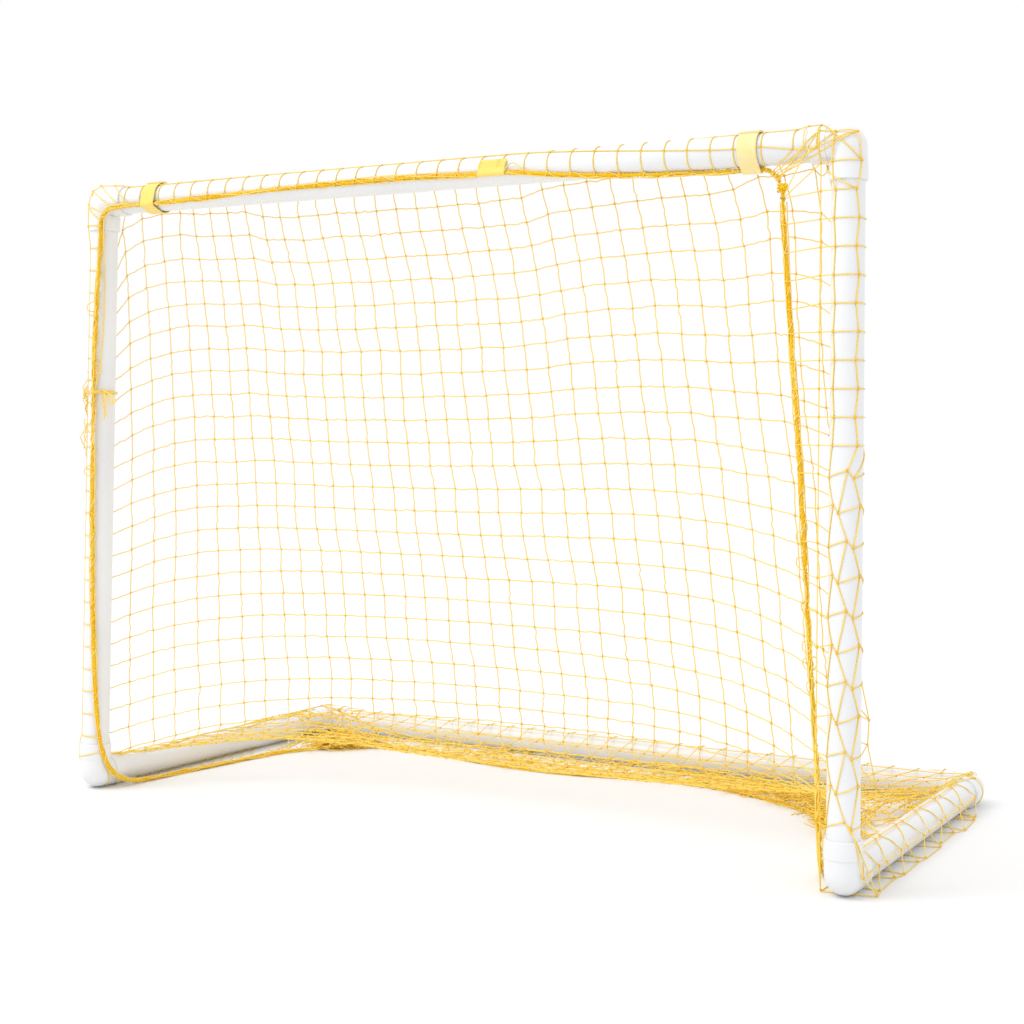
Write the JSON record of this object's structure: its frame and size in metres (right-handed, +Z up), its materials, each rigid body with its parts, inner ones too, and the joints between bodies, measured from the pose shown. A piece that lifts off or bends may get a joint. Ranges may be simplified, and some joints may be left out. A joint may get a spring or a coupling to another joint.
{
  "type": "soccer goal frame",
  "caption": "portable soccer goal: plastic tubes joined by corner elbows, a knotted net hung from the crossbar with a rope along its edge, and hook-and-loop straps",
  "frame": {"origin": "on the ground, at the middle of the goal's width and of its depth", "axes": "+X to the right seen from in front, +Y to the back, +Z up"},
  "size_m": [1.8478, 1.0035, 1.3834],
  "materials": {
    "tube": "extruded, semi-gloss",
    "elbow": "moulded, semi-gloss",
    "net": "knotted twisted twine",
    "rope": "laid fibre rope",
    "webbing": "woven hook-and-loop tape",
    "tie": "thin twisted cord"
  },
  "bodies": {
    "root": {"crossbar_tube": "tube", "left_post_tube": "tube", "right_post_tube": "tube", "left_base_tube": "tube", "right_base_tube": "tube", "rear_base_tube": "tube", "top_left_elbow": "elbow", "top_right_elbow": "elbow", "front_left_elbow": "elbow", "front_right_elbow": "elbow", "rear_left_elbow": "elbow", "rear_right_elbow": "elbow", "net_back": "net", "net_left_side": "net", "net_right_side": "net", "net_crossbar_wrap": "net", "net_left_post_wrap": "net", "net_right_post_wrap": "net", "net_rear_wrap": "net", "net_front_flap": "net", "net_left_hem": "net", "net_right_hem": "net", "net_rear_gather": "net", "net_right_gather": "net", "edge_rope": "rope", "rope_knot": "rope", "rope_tab": "webbing", "left_post_tie": "tie", "left_tie_bow": "tie"},
    "left_strap": {"left_strap": "webbing"},
    "right_strap": {"right_strap": "webbing"}
  },
  "joints": [
    {"name": "left_strap_slide", "type": "slide", "parent": "root", "child": "left_strap", "axis": [1, 0, 0], "range_m": [-0.0047, 0.0047]},
    {"name": "right_strap_slide", "type": "slide", "parent": "root", "child": "right_strap", "axis": [1, 0, 0], "range_m": [-0.0047, 0.0047]}
  ]
}
